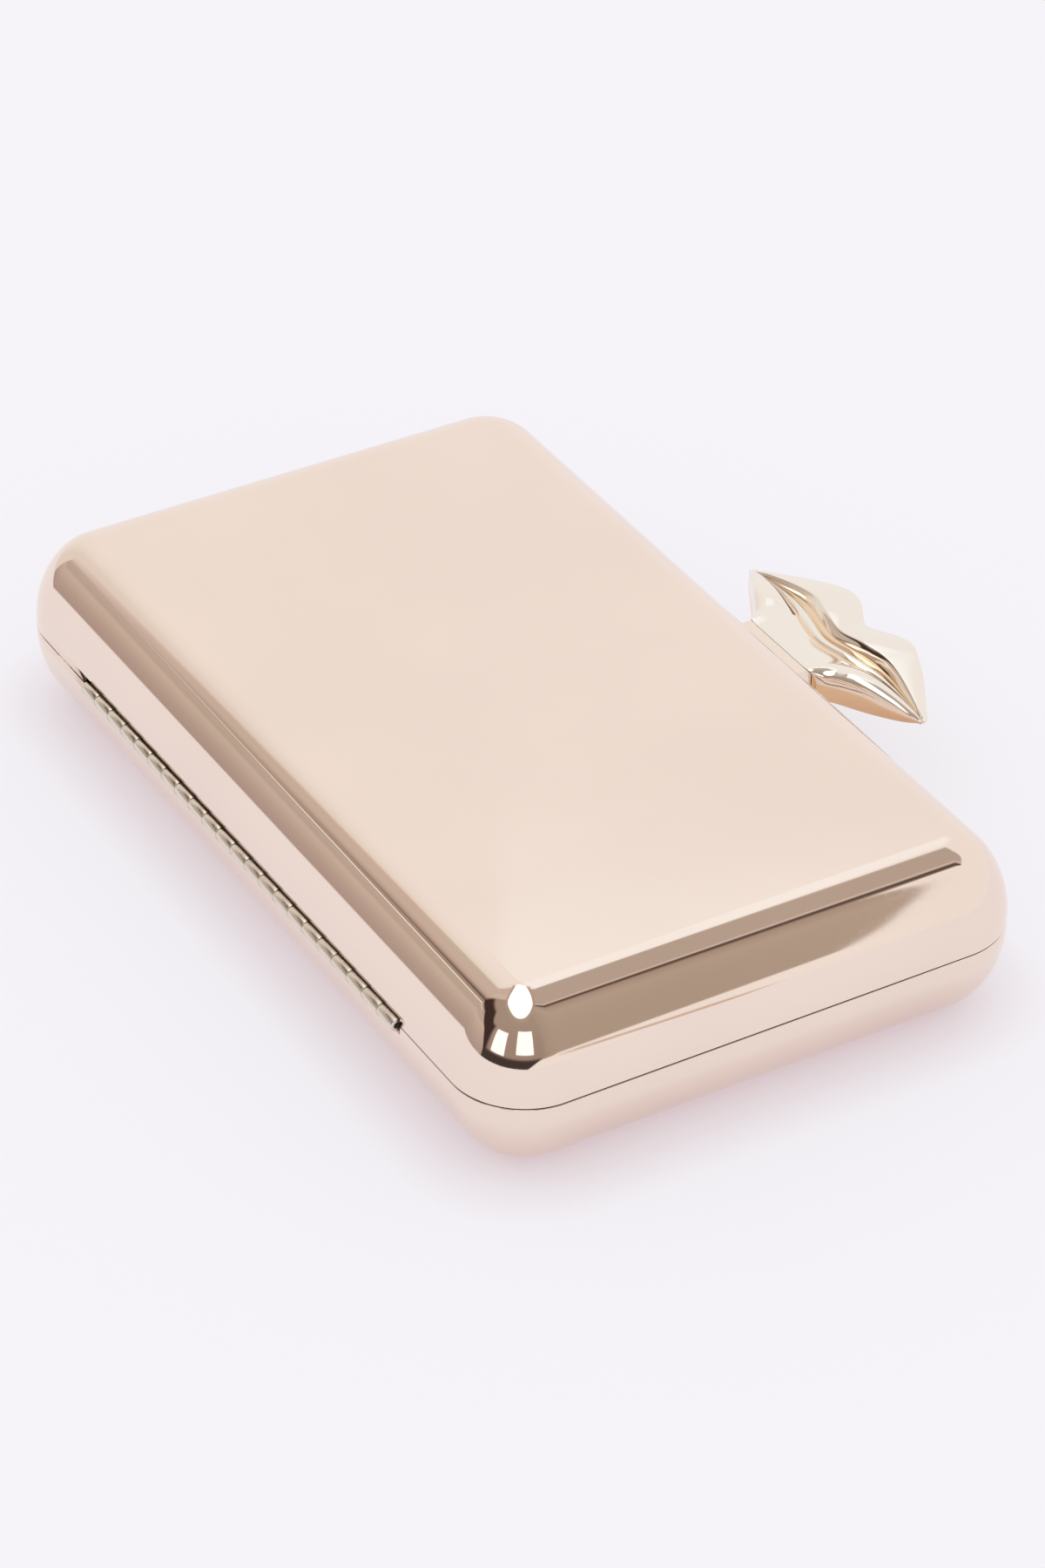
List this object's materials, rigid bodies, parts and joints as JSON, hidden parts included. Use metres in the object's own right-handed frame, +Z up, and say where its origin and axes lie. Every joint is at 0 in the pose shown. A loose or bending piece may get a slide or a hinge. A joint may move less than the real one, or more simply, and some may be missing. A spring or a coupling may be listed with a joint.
{
  "type": "minaudiere",
  "caption": "Hard-shell evening clutch in mirror-polished metal: two pressed halves on a piano hinge, a lips-shaped clasp lever, and a padded lining.",
  "frame": {"origin": "centre of the back half's flat face, where the closed box lies on a table", "axes": "+X along the hinge, +Y from the hinge side to the clasp side, +Z up through the front half"},
  "size_m": [0.175, 0.1336, 0.033],
  "materials": {
    "shell_metal": "mirror-polished rose-gold plate",
    "rim_metal": "satin rose-gold plate",
    "clasp_metal": "polished pale-gold plate",
    "lips_metal": "polished pale-gold plate on a casting",
    "hinge_metal": "polished nickel-gold",
    "steel": "drawn spring steel",
    "card": "pressed card",
    "lining": "satin over a moulded board",
    "lining_pad": "padded satin",
    "binding": "grosgrain ribbon"
  },
  "bodies": {
    "back_half": {"back_shell": "shell_metal", "back_rim": "rim_metal", "back_backing_card": "card", "back_lining_tray": "lining", "back_floor_pad": "lining_pad", "hinge_leaf_back": "hinge_metal", "hinge_pin": "steel", "clasp_bracket": "clasp_metal", "clasp_bracket_rivets": "clasp_metal", "clasp_pivot_pin": "steel", "clasp_spring": "steel"},
    "front_half": {"front_shell": "shell_metal", "front_rim": "rim_metal", "front_backing_card": "card", "front_lining_tray": "lining", "front_floor_pad": "lining_pad", "pocket_panel": "lining_pad", "pocket_binding": "binding", "hinge_leaf_front": "hinge_metal", "keeper_block": "clasp_metal", "keeper_rivets": "clasp_metal"},
    "lever": {"clasp_lever": "clasp_metal", "clasp_hook": "steel", "hook_rivets": "clasp_metal", "lips_casting": "lips_metal", "lips_screws": "clasp_metal"}
  },
  "joints": [
    {"name": "lid_hinge", "type": "hinge", "parent": "back_half", "child": "front_half", "pos_m": [0, -0.053, 0.0165], "axis": [1, 0, 0], "range_deg": [0, 110]},
    {"name": "clasp_tilt", "type": "hinge", "parent": "back_half", "child": "lever", "pos_m": [0, 0.0564, 0.0126], "axis": [-1, 0, 0], "range_deg": [0, 18], "stiffness_Nm_per_rad": 0.05, "springref_deg": -20.05, "deforming": ["clasp_spring"]}
  ]
}
